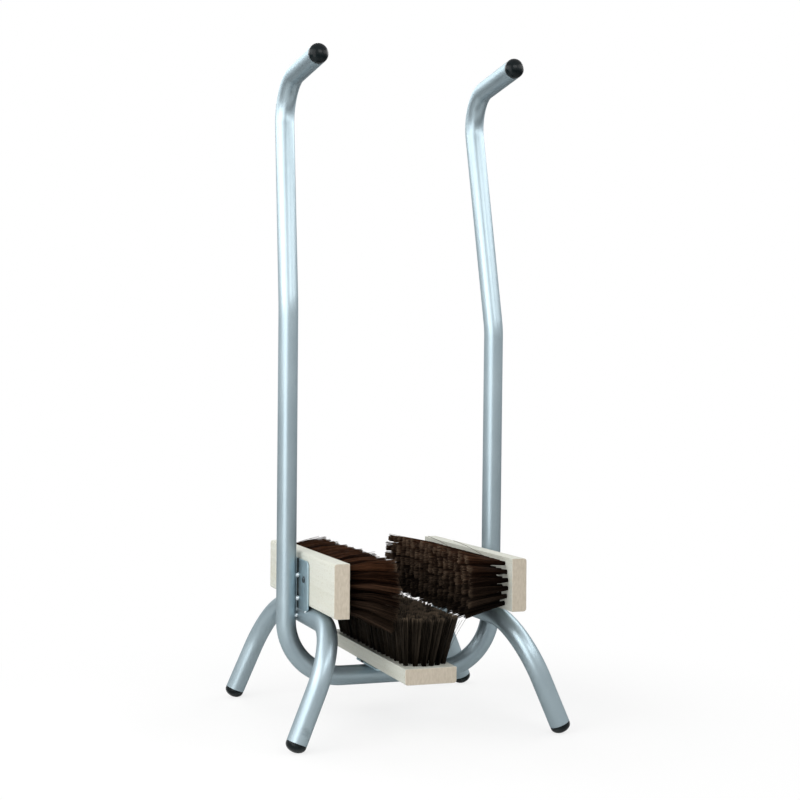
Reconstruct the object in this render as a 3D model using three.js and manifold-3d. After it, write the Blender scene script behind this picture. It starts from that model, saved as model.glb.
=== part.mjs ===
// Free-standing boot scraper: a bent tube frame with two grips, two splayed
// leg arches and three wood-backed brushes screwed to welded plates.
// Millimetres and degrees, +Z up. The user stands on the -Y side.

import * as THREE from 'three';
import { mergeVertices } from 'three/addons/utils/BufferGeometryUtils.js';
import Module from 'manifold-3d';

const wasm = await Module();
wasm.setup();

// Tube stock
const tubeDiameter = 28;
const tubeWall = 2;

// Frame tube, measured along its axis. It is bent by hand, so its two posts
// and grips differ a little.
const postSpacing = 313;
const railHeight = 61;
const railBendRadius = 82.6;
const leftKneeHeight = 589;
const rightKneeHeight = 563;
const rightPostLeanOut = 0.31;
const kneeBendRadius = 130;
const gripCornerHeight = 916;
const gripCornerSetBack = 68.9;
const gripCornerInset = 8.6;
const gripBendRadius = 53;
const leftGripLength = 163.8;
const rightGripLength = 170.5;
const leftGripRise = 2.8;
const rightGripRise = 3.6;
const leftGripTurnIn = 1.8;
const rightGripTurnIn = 1.4;

// Leg arches, measured along their axis
const archTopHeight = 151.4;
const archFlatLength = 177;
const archBendRadius = 89.4;
const archSplay = 22.8;
const archLegAngle = 3.8;
const archSetBack = 7;

// Brush backs
const blockLength = 344;
const blockWidth = 72.6;
const blockThickness = 21.5;
const blockEdgeRadius = 4;
const sideBlockLift = 2.5;
const bottomBlockShiftX = -8.6;
const bottomBlockShiftY = -19.2;

// Tufts: where they stand on a brush back, and how their tips spread. The left
// brush is bent down by use, so its tips lie on an arc, and the right one is
// combed back.
const leftBristleLength = 66.8;
const rightBristleLength = 63.3;
const bottomBristleLength = 67.8;
const backingSlice = 1.5;
const tuftRows = 6;
const tuftColumns = 17;
const tuftRootWidth = 5.5;
const tuftTipWidth = 8.5;
const fieldEndMargin = 15;
const fieldSideMargin = 9;
const fieldEndArc = 11;
const tipSpreadAlong = 31;
const tipSpreadAlongAtEdge = 22;
const leftTipHalfWidth = 44;
const leftTipDroop = 8.8;
const rightTipHalfWidth = 40;
const rightTipDroop = 1.4;
const rightTipSpreadCut = 6.5;
const rightTipComb = 6.5;
const brushClearance = 0.4;

// Bracket plates, their weld beads and their screws
const plateLength = 104;
const plateWidth = 70;
const plateThickness = 2.5;
const plateCornerRadius = 9;
const plateWeldGap = 2.7;
const plateRestGap = 0.8;
const beadRadius = 3.2;
const beadStretch = 1.3;
const beadSpacing = 34;
const beadDrop = 7;
const restBeadRadius = 1.6;
const restBeadInset = 9;
const screwSpacing = 67;
const screwHoleRadius = 2.6;
const screwShankRadius = 2;
const screwHeadRadius = 4.5;
const screwHeadHeight = 2.2;
const screwCrownRadius = 3.2;
const screwRimHeight = 0.9;
const screwLength = 18;
const screwTipLength = 4;

// Domed end plugs
const capHeight = 12;
const capRimHeight = 2.5;
const plugLength = 16;
const plugChamfer = 1.2;
const footFlatDepth = 0.5;

// Clearance between pieces, and how finely round shapes are divided
const seatGap = 0.3;
const tubeSides = 20;
const boreSides = 12;
const smallSides = 12;
const domeRings = 4;
const beadSides = 6;
const bendStep = 10;
const cornerSteps = 4;

const radians = THREE.MathUtils.degToRad;
const vector = (x, y, z) => new THREE.Vector3(x, y, z);
const along = (from, to) => to.clone().sub(from).normalize();

const tubeRadius = tubeDiameter / 2;
const boreRadius = tubeRadius - tubeWall;
const postX = postSpacing / 2;

// Closed geometries are joined and cut as solids.
function solidOf(geometry) {
  const plain = geometry.clone();
  plain.deleteAttribute('normal');
  plain.deleteAttribute('uv');
  const merged = mergeVertices(plain, 1e-4);
  return new wasm.Manifold(new wasm.Mesh({
    numProp: 3,
    vertProperties: new Float32Array(merged.attributes.position.array),
    triVerts: new Uint32Array(merged.index.array),
  }));
}

function geometryOf(solid) {
  const mesh = solid.getMesh();
  const geometry = new THREE.BufferGeometry();
  geometry.setAttribute('position', new THREE.BufferAttribute(mesh.vertProperties, 3));
  geometry.setIndex(new THREE.BufferAttribute(mesh.triVerts, 1));
  geometry.computeVertexNormals();
  return geometry;
}

function joined(geometries) {
  return geometries.map(solidOf).reduce((whole, part) => whole.add(part));
}

function cut(solid, geometries) {
  return geometries.map(solidOf).reduce((rest, tool) => rest.subtract(tool), solid);
}

function turnFromZ(direction) {
  return new THREE.Quaternion().setFromUnitVectors(vector(0, 0, 1), direction);
}

// A round rod between two points.
function rod(from, to, radius, sides) {
  const length = from.distanceTo(to);
  const middle = from.clone().lerp(to, 0.5);
  return new THREE.CylinderGeometry(radius, radius, length, sides)
    .rotateX(Math.PI / 2)
    .applyQuaternion(turnFromZ(along(from, to)))
    .translate(middle.x, middle.y, middle.z);
}

// A weld bead, a little longer along Y.
function bead(x, y, z, radius = beadRadius) {
  return new THREE.SphereGeometry(radius, beadSides, beadSides / 2)
    .scale(1, beadStretch, 1)
    .translate(x, y, z);
}

// A curve with stations only where the tube needs them: at the ends of its
// straight runs and every few degrees round its bends.
class BentTubePath extends THREE.Curve {
  constructor(corners, bendRadii) {
    super();
    this.stations = [{ point: corners[0], tangent: along(corners[0], corners[1]) }];
    bendRadii.forEach((radius, i) => this.addBend(...corners.slice(i, i + 3), radius));
    this.stations.push({ point: corners.at(-1), tangent: along(corners.at(-2), corners.at(-1)) });
  }

  addBend(from, corner, to, radius) {
    const before = along(from, corner);
    const after = along(corner, to);
    const turn = before.angleTo(after);
    const axis = before.clone().cross(after).normalize();
    const arm = axis.clone().cross(before).multiplyScalar(-radius);
    const centre = corner.clone()
      .addScaledVector(before, -radius * Math.tan(turn / 2))
      .sub(arm);
    const steps = Math.ceil(turn / radians(bendStep));
    for (let k = 0; k <= steps; k += 1) {
      const angle = turn * k / steps;
      this.stations.push({
        point: arm.clone().applyAxisAngle(axis, angle).add(centre),
        tangent: before.clone().applyAxisAngle(axis, angle),
      });
    }
  }

  stationAt(u) {
    return this.stations[Math.round(u * (this.stations.length - 1))];
  }

  getPointAt(u, target = new THREE.Vector3()) {
    return target.copy(this.stationAt(u).point);
  }

  getTangentAt(u, target = new THREE.Vector3()) {
    return target.copy(this.stationAt(u).tangent);
  }
}

function ring(Outline, radius, sides) {
  const points = Array.from({ length: sides }, (_, i) => {
    const angle = 2 * Math.PI * i / sides;
    return new THREE.Vector2(radius * Math.cos(angle), radius * Math.sin(angle));
  });
  return new Outline(points);
}

// A hollow tube, open at both ends.
function bentTube(corners, bendRadii) {
  const path = new BentTubePath(corners, bendRadii);
  const section = ring(THREE.Shape, tubeRadius, tubeSides);
  section.holes.push(ring(THREE.Path, boreRadius, boreSides));
  return new THREE.ExtrudeGeometry(section, {
    steps: path.stations.length - 1,
    extrudePath: path,
  });
}

const looks = {
  tubeCoat: { color: 0xa9b9c1, roughness: 0.38, metalness: 0.6 },
  plateSteel: { color: 0x6f858e, roughness: 0.5, metalness: 0.5 },
  capPlastic: { color: 0x22262a, roughness: 0.55, metalness: 0 },
  paleWood: { color: 0xd9cfbd, roughness: 0.75, metalness: 0 },
  bristleBrown: { color: 0x2a1a13, roughness: 0.6, metalness: 0 },
  screwSteel: { color: 0x3b4346, roughness: 0.45, metalness: 0.8 },
};

function addPiece(parent, name, geometry, look) {
  const mesh = new THREE.Mesh(geometry, new THREE.MeshStandardMaterial(looks[look]));
  mesh.name = name;
  parent.add(mesh);
  return mesh;
}

// Domed plug: its axis is +Z, and the tube's end lies at z = 0.
const plugRadius = boreRadius * Math.cos(Math.PI / boreSides) - seatGap;
const capRimTop = seatGap + capRimHeight;
const domeHeight = capHeight - capRimHeight;

function capGeometry() {
  const profile = [
    new THREE.Vector2(0, -plugLength),
    new THREE.Vector2(plugRadius - plugChamfer, -plugLength),
    new THREE.Vector2(plugRadius, plugChamfer - plugLength),
    new THREE.Vector2(plugRadius, seatGap),
    new THREE.Vector2(tubeRadius, seatGap),
  ];
  for (let k = 0; k < domeRings; k += 1) {
    const angle = Math.PI / 2 * k / domeRings;
    const radius = tubeRadius * Math.cos(angle);
    profile.push(new THREE.Vector2(radius, capRimTop + domeHeight * Math.sin(angle)));
  }
  profile.push(new THREE.Vector2(0, seatGap + capHeight));
  return new THREE.LatheGeometry(profile, tubeSides).rotateX(Math.PI / 2);
}

function addCap(parent, name, tubeEnd, direction) {
  const cap = addPiece(parent, name, capGeometry(), 'capPlastic');
  cap.position.copy(tubeEnd);
  cap.quaternion.copy(turnFromZ(direction));
  return cap;
}

// A foot plug is worn flat where it stands on the floor.
function addFoot(parent, name, tubeEnd, direction) {
  const foot = addCap(parent, name, tubeEnd, direction);
  foot.updateMatrix();
  const floor = new THREE.BoxGeometry(2 * tubeDiameter, 2 * tubeDiameter, tubeDiameter)
    .translate(tubeEnd.x, tubeEnd.y, -tubeRadius);
  const standing = cut(solidOf(foot.geometry.applyMatrix4(foot.matrix)), [floor]);
  foot.geometry = geometryOf(standing).applyMatrix4(foot.matrix.clone().invert());
}

// A lower post's axis: it passes its leg arch at postX, and the right one leans out.
function postAt(side, height) {
  const lean = side > 0 ? Math.tan(radians(rightPostLeanOut)) : 0;
  return vector(side * (postX + lean * (height - archTopHeight)), 0, height);
}

// Frame tube: grip, leaning upper post, lower post, base rail and back up.
function postLayout(side, post) {
  const rise = radians(post.gripRise);
  const turn = radians(post.gripTurnIn);
  const gripDirection = vector(
    -side * Math.sin(turn) * Math.cos(rise),
    -Math.cos(turn) * Math.cos(rise),
    Math.sin(rise),
  );
  const railCorner = postAt(side, railHeight);
  const knee = postAt(side, post.kneeHeight);
  const gripCorner = vector(
    side * (postX - gripCornerInset),
    gripCornerSetBack,
    gripCornerHeight,
  );
  const gripEnd = gripCorner.clone().addScaledVector(gripDirection, post.gripLength);
  return { corners: [gripEnd, gripCorner, knee, railCorner], gripEnd, gripDirection };
}

function addFrame(parent) {
  const left = postLayout(-1, {
    kneeHeight: leftKneeHeight,
    gripLength: leftGripLength,
    gripRise: leftGripRise,
    gripTurnIn: leftGripTurnIn,
  });
  const right = postLayout(1, {
    kneeHeight: rightKneeHeight,
    gripLength: rightGripLength,
    gripRise: rightGripRise,
    gripTurnIn: rightGripTurnIn,
  });
  const radii = [gripBendRadius, kneeBendRadius, railBendRadius];
  const corners = [...left.corners, ...right.corners.toReversed()];
  const tube = bentTube(corners, [...radii, ...radii.toReversed()]);
  addPiece(parent, 'frame_tube', tube, 'tubeCoat');
  addCap(parent, 'left_grip_cap', left.gripEnd, left.gripDirection);
  addCap(parent, 'right_grip_cap', right.gripEnd, right.gripDirection);
}

// Leg arch: flat in a plane that leans outwards, its top run tacked to the post.
const archX = postX - tubeDiameter - seatGap;

function legDirection(side, end) {
  const slope = radians(archLegAngle);
  const splay = radians(archSplay);
  return vector(
    side * Math.cos(slope) * Math.sin(splay),
    end * Math.sin(slope),
    -Math.cos(slope) * Math.cos(splay),
  );
}

// The height of a leg's tube end that puts the worn flat of its plug on the floor.
function legEndHeight() {
  const tilt = legDirection(1, 1).angleTo(vector(0, 0, -1));
  const domeReach = Math.hypot(tubeRadius * Math.sin(tilt), domeHeight * Math.cos(tilt));
  return capRimTop * Math.cos(tilt) + domeReach - footFlatDepth;
}

function addLegArch(parent, side, name) {
  const turn = Math.PI / 2 - radians(archLegAngle);
  const cornerY = archFlatLength / 2 + archBendRadius * Math.tan(turn / 2);
  const drop = archTopHeight - legEndHeight();
  const leg = (end) => {
    const direction = legDirection(side, end);
    const corner = vector(side * archX, archSetBack + end * cornerY, archTopHeight);
    const foot = corner.clone().addScaledVector(direction, -drop / direction.z);
    return { direction, corner, foot };
  };
  const front = leg(-1);
  const rear = leg(1);
  const tube = bentTube(
    [front.foot, front.corner, rear.corner, rear.foot],
    [archBendRadius, archBendRadius],
  );
  const weldX = side * (postX - tubeRadius);
  const welds = [-1, 1].map((end) => bead(weldX, end * tubeRadius / 2, archTopHeight));
  const postAxis = (up) => postAt(side, archTopHeight + up * tubeDiameter);
  const post = rod(postAxis(-1), postAxis(1), tubeRadius + seatGap, tubeSides);
  const arch = cut(joined([tube, ...welds]), [post]);
  addPiece(parent, `${name}_leg_arch`, geometryOf(arch), 'tubeCoat');
  addFoot(parent, `${name}_front_foot`, front.foot, front.direction);
  addFoot(parent, `${name}_rear_foot`, rear.foot, rear.direction);
}

// Brush frame: z = 0 is the back face of the brush back, +Z points to the tips,
// Y runs along it and X across it. The welded tube runs along X behind the plate.
const plateOuterZ = -(seatGap + plateThickness);
const tubeAxisZ = plateOuterZ - plateWeldGap - tubeRadius;
const blockBackX = postX + tubeAxisZ;
const sideBlockHeight = archTopHeight + tubeRadius + sideBlockLift + blockWidth / 2;

// The side plates stand on the leg arches, their feet coped to the tube, so they
// sit low behind their brushes.
const restReach = tubeRadius + plateRestGap;
const plateOuterToArch = blockBackX - plateOuterZ - archX;
const sidePlateBottom = archTopHeight + Math.sqrt(restReach ** 2 - plateOuterToArch ** 2);
const sidePlateShift = sidePlateBottom + plateWidth / 2 - sideBlockHeight;

function roundedPlate(length, width, radius) {
  const x = width / 2;
  const y = length / 2;
  const shape = new THREE.Shape();
  shape.moveTo(x, y - radius);
  shape.absarc(x - radius, y - radius, radius, 0, Math.PI / 2);
  shape.absarc(radius - x, y - radius, radius, Math.PI / 2, Math.PI);
  shape.absarc(radius - x, radius - y, radius, Math.PI, Math.PI * 1.5);
  shape.absarc(x - radius, radius - y, radius, Math.PI * 1.5, Math.PI * 2);
  return shape;
}

function plateGeometry(shift) {
  const shape = roundedPlate(plateLength, plateWidth, plateCornerRadius);
  for (const end of [-1, 1]) {
    const hole = new THREE.Path();
    hole.absarc(-shift, end * screwSpacing / 2, screwHoleRadius, 0, Math.PI * 2, true);
    shape.holes.push(hole);
  }
  const options = { depth: plateThickness, bevelEnabled: false, curveSegments: cornerSteps };
  return new THREE.ExtrudeGeometry(shape, options).translate(shift, 0, plateOuterZ);
}

// Beads sit in the two grooves between the plate and the tube behind it.
function grooveBeads(brush, shift) {
  const reachY = tubeRadius * 0.4;
  const tubeSurfaceZ = tubeAxisZ + Math.sqrt(tubeRadius ** 2 - reachY ** 2);
  const z = (plateOuterZ + tubeSurfaceZ) / 2;
  const beads = [];
  for (const step of [-1, 1]) {
    const x = shift + brush.up * (step * beadSpacing / 2 - beadDrop);
    for (const end of [-1, 1]) {
      beads.push(bead(x, brush.tubeY + end * reachY, z));
    }
  }
  return beads;
}

// Beads at the foot of a side plate tack it to the leg arch it stands on.
function restBeads(brush, shift) {
  const x = shift - brush.up * (plateWidth / 2 + restBeadRadius / 4);
  const y = plateLength / 2 - restBeadInset;
  return [-y, y].map((end) => bead(x, end, plateOuterZ, restBeadRadius));
}

// The axis of the tube behind a plate, at a place across the brush.
function tubeAxisAt(brush, x) {
  if (!brush.onArch) return vector(x, brush.tubeY, tubeAxisZ);
  const post = postAt(brush.up, sideBlockHeight + brush.up * x);
  return vector(x, brush.tubeY, blockBackX - brush.up * post.x);
}

function bracket(brush) {
  const shift = brush.up * brush.plateShift;
  const archAxis = (end) => vector(
    brush.up * (archTopHeight - sideBlockHeight),
    end * plateLength,
    blockBackX - archX,
  );
  const parts = [plateGeometry(shift), ...grooveBeads(brush, shift)];
  const ends = [-plateWidth, plateWidth].map((x) => tubeAxisAt(brush, x));
  const tools = [rod(...ends, tubeRadius + seatGap, tubeSides)];
  if (brush.onArch) {
    parts.push(...restBeads(brush, shift));
    tools.push(rod(archAxis(-1), archAxis(1), tubeRadius + seatGap, tubeSides));
  }
  return geometryOf(cut(joined(parts), tools));
}

// Pan-head wood screw along +Z, its head's underside at z = 0.
function screwGeometry() {
  const profile = [
    new THREE.Vector2(0, -screwHeadHeight),
    new THREE.Vector2(screwCrownRadius, -screwHeadHeight),
    new THREE.Vector2(screwHeadRadius, -screwRimHeight),
    new THREE.Vector2(screwHeadRadius, 0),
    new THREE.Vector2(screwShankRadius, 0),
    new THREE.Vector2(screwShankRadius, screwLength - screwTipLength),
    new THREE.Vector2(0, screwLength),
  ];
  return new THREE.LatheGeometry(profile, smallSides).rotateX(Math.PI / 2);
}

const screwSeatZ = plateOuterZ - seatGap;

// Brush back: rounded along the two long edges of its back, drilled for screws.
function blockGeometry() {
  const x = blockWidth / 2;
  const front = blockThickness - backingSlice - seatGap;
  const section = new THREE.Shape();
  section.moveTo(x, front);
  section.lineTo(-x, front);
  section.absarc(blockEdgeRadius - x, blockEdgeRadius, blockEdgeRadius, Math.PI, Math.PI * 1.5);
  section.absarc(x - blockEdgeRadius, blockEdgeRadius, blockEdgeRadius, Math.PI * 1.5, Math.PI * 2);
  const bar = new THREE.ExtrudeGeometry(section, {
    depth: blockLength,
    bevelEnabled: false,
    curveSegments: cornerSteps,
  });
  bar.rotateX(Math.PI / 2).translate(0, blockLength / 2, 0);
  const holeBottom = screwSeatZ + screwLength + seatGap;
  const holes = [-1, 1].map((end) => {
    const y = end * screwSpacing / 2;
    const mouth = vector(0, y, -blockEdgeRadius);
    return rod(mouth, vector(0, y, holeBottom), screwShankRadius + seatGap, smallSides);
  });
  return geometryOf(cut(solidOf(bar), holes));
}

// Tufts: straight strands that widen and lean towards the tips.
const fieldHalfWidth = blockWidth / 2 - fieldSideMargin;
const fieldHalfLength = blockLength / 2 - fieldEndMargin;
const leftTipX = blockBackX - blockThickness - leftBristleLength;
const bottomTipHalfWidth = leftTipX + bottomBlockShiftX - brushClearance - tuftTipWidth / 2;
const sunk = backingSlice / 2;

function tuftGeometry(root, tip, reach) {
  const length = reach + sunk;
  const leanX = (tip.x - root.x) / length;
  const leanY = (tip.y - root.y) / length;
  const lean = new THREE.Matrix4().set(
    1, 0, leanX, root.x,
    0, 1, leanY, root.y,
    0, 0, 1, blockThickness - sunk,
    0, 0, 0, 1,
  );
  const halfDiagonal = Math.SQRT1_2;
  const tipRadius = tuftTipWidth * halfDiagonal;
  const rootRadius = tuftRootWidth * halfDiagonal;
  return new THREE.CylinderGeometry(tipRadius, rootRadius, length, 4)
    .rotateY(Math.PI / 4)
    .rotateX(Math.PI / 2)
    .translate(0, 0, length / 2)
    .applyMatrix4(lean);
}

function bristles(brush) {
  const slice = new THREE.BoxGeometry(blockWidth, blockLength, backingSlice)
    .translate(0, 0, blockThickness - backingSlice / 2);
  const tufts = [];
  for (let row = 0; row < tuftRows; row += 1) {
    const across = 2 * row / (tuftRows - 1) - 1;
    const halfLength = fieldHalfLength - fieldEndArc * across ** 2;
    const atEdge = (tipSpreadAlong - tipSpreadAlongAtEdge) * across ** 2;
    const spread = tipSpreadAlong - atEdge - brush.spreadCut;
    const tipX = across * brush.tipHalfWidth - brush.up * brush.droop;
    const leanAcross = brush.trimmedLevel ? 0 : tipX - across * fieldHalfWidth;
    const reach = Math.sqrt(brush.bristleLength ** 2 - leanAcross ** 2);
    for (let column = 0; column < tuftColumns; column += 1) {
      const run = 2 * column / (tuftColumns - 1) - 1;
      const root = new THREE.Vector2(across * fieldHalfWidth, run * halfLength);
      const tip = new THREE.Vector2(tipX, root.y + run ** 3 * spread + brush.comb);
      tufts.push(tuftGeometry(root, tip, reach));
    }
  }
  return geometryOf(joined([slice, ...tufts]));
}

function addBrush(parent, brush) {
  const group = new THREE.Group();
  group.position.copy(brush.position);
  group.rotation.y = brush.turn;
  parent.add(group);
  addPiece(group, `${brush.name}_bracket`, bracket(brush), 'plateSteel');
  addPiece(group, `${brush.name}_block`, blockGeometry(), 'paleWood');
  addPiece(group, `${brush.name}_bristles`, bristles(brush), 'bristleBrown');
  for (const [end, place] of [[-1, 'front'], [1, 'rear']]) {
    const screw = addPiece(group, `${brush.name}_screw_${place}`, screwGeometry(), 'screwSteel');
    screw.position.set(0, end * screwSpacing / 2, screwSeatZ);
  }
}

const leftBrush = {
  name: 'left',
  position: vector(-blockBackX, 0, sideBlockHeight),
  turn: Math.PI / 2,
  up: -1,
  onArch: true,
  plateShift: sidePlateShift,
  tubeY: 0,
  bristleLength: leftBristleLength,
  tipHalfWidth: leftTipHalfWidth,
  droop: leftTipDroop,
  trimmedLevel: false,
  spreadCut: 0,
  comb: 0,
};

const rightBrush = {
  ...leftBrush,
  name: 'right',
  position: vector(blockBackX, 0, sideBlockHeight),
  turn: -Math.PI / 2,
  up: 1,
  bristleLength: rightBristleLength,
  tipHalfWidth: rightTipHalfWidth,
  droop: rightTipDroop,
  trimmedLevel: true,
  spreadCut: rightTipSpreadCut,
  comb: rightTipComb,
};

const bottomBrush = {
  name: 'bottom',
  position: vector(bottomBlockShiftX, bottomBlockShiftY, railHeight - tubeAxisZ),
  turn: 0,
  up: 1,
  onArch: false,
  plateShift: 0,
  tubeY: -bottomBlockShiftY,
  bristleLength: bottomBristleLength,
  tipHalfWidth: bottomTipHalfWidth,
  droop: 0,
  trimmedLevel: true,
  spreadCut: 0,
  comb: 0,
};

// The origin is on the floor, below the middle of the whole object.
const scraper = new THREE.Group();
addFrame(scraper);
addLegArch(scraper, -1, 'left');
addLegArch(scraper, 1, 'right');
[leftBrush, rightBrush, bottomBrush].forEach((brush) => addBrush(scraper, brush));
scraper.position.y = -new THREE.Box3().setFromObject(scraper, true).getCenter(vector(0, 0, 0)).y;

export default scraper;
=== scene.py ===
"""Looks of the free-standing boot scraper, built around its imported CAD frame.

All places are in the row frame: X across, -Y towards the user, Z up, with the
floor at z = 0. Sizes are written in millimetres and turned to metres by mm.
"""

import math

import bmesh
import bpy
from mathutils import Matrix, Vector


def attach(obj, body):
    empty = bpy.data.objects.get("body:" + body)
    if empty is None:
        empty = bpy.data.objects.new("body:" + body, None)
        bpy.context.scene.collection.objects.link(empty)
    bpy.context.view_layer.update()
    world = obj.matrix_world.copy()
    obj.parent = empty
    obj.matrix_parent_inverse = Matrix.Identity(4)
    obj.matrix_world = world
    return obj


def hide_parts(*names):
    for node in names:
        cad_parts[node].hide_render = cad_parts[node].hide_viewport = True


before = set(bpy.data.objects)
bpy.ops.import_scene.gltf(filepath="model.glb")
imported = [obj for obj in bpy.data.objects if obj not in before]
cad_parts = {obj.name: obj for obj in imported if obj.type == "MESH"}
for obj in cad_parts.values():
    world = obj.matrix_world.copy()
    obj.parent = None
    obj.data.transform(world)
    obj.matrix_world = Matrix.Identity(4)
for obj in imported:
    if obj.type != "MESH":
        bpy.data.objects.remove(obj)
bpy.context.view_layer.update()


# The frame tube: one 28 mm steel tube with a 2 mm wall, bent cold into two
# forward grips, two upright posts and the base rail that joins them. It is
# powder coated in one go with everything that is welded to it.
mm = 0.001
tube_radius, tube_wall = 14, 2
# The posts stand this far behind the middle of the object.
post_plane = 3.66


def linear(colour):
    """An sRGB hex colour as the linear RGBA that a shader takes."""
    parts = [int(colour[i : i + 2], 16) / 255 for i in (1, 3, 5)]
    return [c / 12.92 if c <= 0.04045 else ((c + 0.055) / 1.055) ** 2.4 for c in parts] + [1]


def add(tree, kind, inputs=None, **settings):
    """Adds a node. Each of its inputs is linked to a socket or set to a value.

    An input goes by its number where several share a name: 6 and 7 are the two
    colours of a Mix node, whose mixed colour is output 2.
    """
    made = tree.nodes.new(kind)
    for name, value in settings.items():
        setattr(made, name, value)
    for name, value in (inputs or {}).items():
        if isinstance(value, bpy.types.NodeSocket):
            tree.links.new(value, made.inputs[name])
        else:
            made.inputs[name].default_value = value
    return made


def new_finish(name, **constants):
    """A material with one Principled shader, whose constants are set on its sockets."""
    material = bpy.data.materials.new(name)
    material.use_nodes = True
    tree = material.node_tree
    tree.nodes.clear()
    values = {label.replace("_", " "): value for label, value in constants.items()}
    shader = add(tree, "ShaderNodeBsdfPrincipled", values)
    add(tree, "ShaderNodeOutputMaterial", {"Surface": shader.outputs[0]})
    place = add(tree, "ShaderNodeTexCoord").outputs["Object"]
    return material, tree, shader, place


def shade_between(tree, factor, low, high, first, second):
    """A colour that goes from first to second as factor goes from low to high."""
    ramp = add(tree, "ShaderNodeValToRGB", {"Fac": factor})
    for stop, position, colour in zip(ramp.color_ramp.elements, (low, high), (first, second)):
        stop.position = position
        stop.color = linear(colour)
    return ramp.outputs["Color"]


# Silver polyester powder coat with aluminium flake, sprayed and baked: satin,
# cool grey, with a fine orange peel. The flake is really finer than 0.1 mm and
# is drawn at 0.8 mm so that it shows. The tint keeps it grey at grazing angles,
# as flat flake is. Its peel is 2.4 mm from crest to crest, and its tone varies
# in clouds some 70 mm across.
powder_coat, tree, shader, place = new_finish(
    "silver powder coat",
    Metallic=0.7,
    Specular_Tint=linear("#B0BABE"),
)
flake = add(tree, "ShaderNodeTexNoise", {"Vector": place, "Scale": 1250, "Detail": 1})
cloud = add(tree, "ShaderNodeTexNoise", {"Vector": place, "Scale": 14, "Detail": 3})
flake_colour = shade_between(tree, flake.outputs["Fac"], 0.35, 0.68, "#94A3AA", "#9EACB2")
cloud_colour = shade_between(tree, cloud.outputs["Fac"], 0.3, 0.7, "#F2F4F5", "#FFFFFF")
coat_colour = add(
    tree,
    "ShaderNodeMix",
    {"Factor": 1.0, 6: flake_colour, 7: cloud_colour},
    data_type="RGBA",
    blend_type="MULTIPLY",
).outputs[2]

# A thumb-sized grey smudge low on the left front leg, ragged by 4 mm crumbs.
smudge_centre = [-0.1785, -0.1815, 0.028]
away = add(tree, "ShaderNodeVectorMath", {0: place, 1: smudge_centre}, operation="DISTANCE")
ragged = add(tree, "ShaderNodeTexNoise", {"Vector": place, "Scale": 260, "Detail": 3})
ragged_edge = add(
    tree,
    "ShaderNodeMath",
    {0: ragged.outputs["Fac"], 1: 0.012, 2: away.outputs["Value"]},
    operation="MULTIPLY_ADD",
)
smudge = add(
    tree,
    "ShaderNodeMapRange",
    {
        "Value": ragged_edge.outputs[0],
        "From Min": 0.008,
        "From Max": 0.013,
        "To Min": 0.4,
        "To Max": 0.0,
    },
)
smudged = add(
    tree,
    "ShaderNodeMix",
    {"Factor": smudge.outputs[0], 6: coat_colour, 7: linear("#5E6A6B")},
    data_type="RGBA",
).outputs[2]
tree.links.new(smudged, shader.inputs["Base Color"])
satin = add(
    tree,
    "ShaderNodeMapRange",
    {
        "Value": cloud.outputs["Fac"],
        "From Min": 0.3,
        "From Max": 0.7,
        "To Min": 0.35,
        "To Max": 0.4,
    },
)
tree.links.new(satin.outputs[0], shader.inputs["Roughness"])
peel = add(tree, "ShaderNodeTexNoise", {"Vector": place, "Scale": 420, "Detail": 2})
peel_bump = add(
    tree,
    "ShaderNodeBump",
    {"Height": peel.outputs["Fac"], "Strength": 0.05, "Distance": 0.00015},
)
tree.links.new(peel_bump.outputs[0], shader.inputs["Normal"])


def new_tree(name, **inputs):
    """A Geometry Nodes tree with these named inputs, its input sockets and its output node."""
    tree = bpy.data.node_groups.new(name, "GeometryNodeTree")
    tree.interface.new_socket("Geometry", in_out="OUTPUT", socket_type="NodeSocketGeometry")
    for label, kind in inputs.items():
        tree.interface.new_socket(
            label.replace("_", " "), in_out="INPUT", socket_type="NodeSocket" + kind
        )
    return tree, add(tree, "NodeGroupInput").outputs, add(tree, "NodeGroupOutput")


tube_tree, given, tree_end = new_tree(
    "Bent tube", Path="Geometry", Radius="Float", Sides="Int", Steps="Int", Coat="Material"
)
bends = add(
    tube_tree,
    "GeometryNodeFilletCurve",
    {
        "Curve": given["Path"],
        "Count": given["Steps"],
        "Radius": add(tube_tree, "GeometryNodeInputRadius").outputs[0],
    },
    mode="POLY",
)
even = add(tube_tree, "GeometryNodeSetCurveRadius", {"Curve": bends.outputs[0], "Radius": 1.0})
section = add(
    tube_tree,
    "GeometryNodeCurvePrimitiveCircle",
    {"Resolution": given["Sides"], "Radius": given["Radius"]},
    mode="RADIUS",
)
skin = add(
    tube_tree,
    "GeometryNodeCurveToMesh",
    {"Curve": even.outputs[0], "Profile Curve": section.outputs[0]},
)
smooth = add(tube_tree, "GeometryNodeSetShadeSmooth", {"Geometry": skin.outputs[0]})
real = add(tube_tree, "GeometryNodeRealizeInstances", {"Geometry": smooth.outputs[0]})
coated = add(
    tube_tree, "GeometryNodeSetMaterial", {"Geometry": real.outputs[0], "Material": given["Coat"]}
)
tube_tree.links.new(coated.outputs[0], tree_end.inputs[0])


def linked(name, data):
    """A new object in the scene, at the origin."""
    made = bpy.data.objects.new(name, data)
    bpy.context.scene.collection.objects.link(made)
    return made


def plain_mesh(name, source):
    """What source's modifiers or curve make, as a plain mesh object. Source is removed."""
    bpy.context.view_layer.update()
    made = source.evaluated_get(bpy.context.evaluated_depsgraph_get())
    mesh = bpy.data.meshes.new_from_object(made)
    source.modifiers.clear()
    bpy.data.objects.remove(source)
    return linked(name, mesh)


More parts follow.
